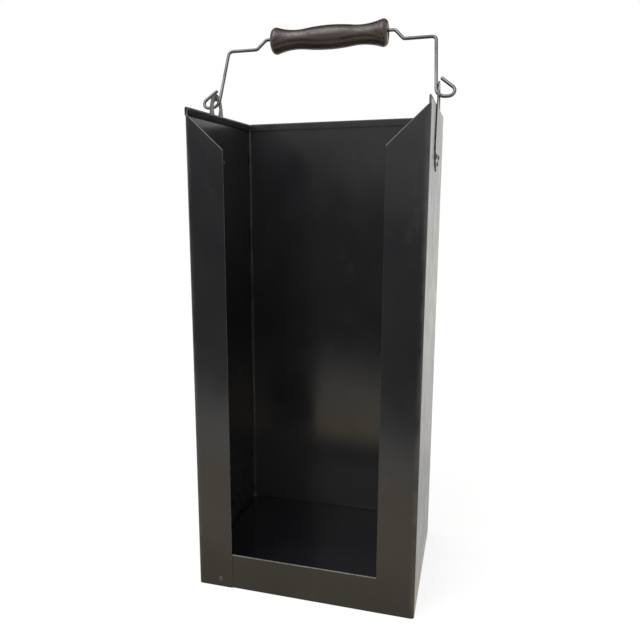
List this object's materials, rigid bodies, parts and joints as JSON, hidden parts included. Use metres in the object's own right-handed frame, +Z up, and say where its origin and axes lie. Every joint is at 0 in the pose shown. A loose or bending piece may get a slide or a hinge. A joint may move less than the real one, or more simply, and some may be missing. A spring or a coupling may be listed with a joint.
{
  "type": "briquette carrier",
  "caption": "Tall folded sheet-steel carrier for fuel briquettes, open at the top and front above a low lip, with a raised floor and a wire bail with a turned wooden grip.",
  "frame": {"origin": "on the ground at the middle of the box's width and depth", "axes": "+Z up, the open front faces -Y, +X to the right seen from the front"},
  "size_m": [0.2348, 0.1662, 0.5256],
  "materials": {
    "painted_sheet": "satin black paint",
    "painted_fitting": "satin black paint",
    "bail_wire": "dark grey lacquered wire",
    "grip_wood": "dark brown stain, semi-gloss"
  },
  "bodies": {
    "carrier": {"body_shell": "painted_sheet", "floor_pan": "painted_sheet", "lap_rivet": "painted_fitting", "left_ear": "painted_fitting", "left_ear_rivet_front": "painted_fitting", "left_ear_rivet_rear": "painted_fitting", "left_ear_rivet_tip": "painted_fitting", "right_ear": "painted_fitting", "right_ear_rivet_front": "painted_fitting", "right_ear_rivet_rear": "painted_fitting", "right_ear_rivet_tip": "painted_fitting"},
    "bail": {"bail_wire": "bail_wire"},
    "grip": {"grip": "grip_wood"}
  },
  "joints": [
    {"name": "bail_swing", "type": "hinge", "parent": "carrier", "child": "bail", "pos_m": [0, -0.008, 0.4525], "axis": [-1, 0, 0], "range_deg": [-120, 74]},
    {"name": "grip_spin", "type": "hinge", "parent": "bail", "child": "grip", "pos_m": [0, 0.01873, 0.51361], "axis": [1, 0, 0], "continuous": true}
  ]
}
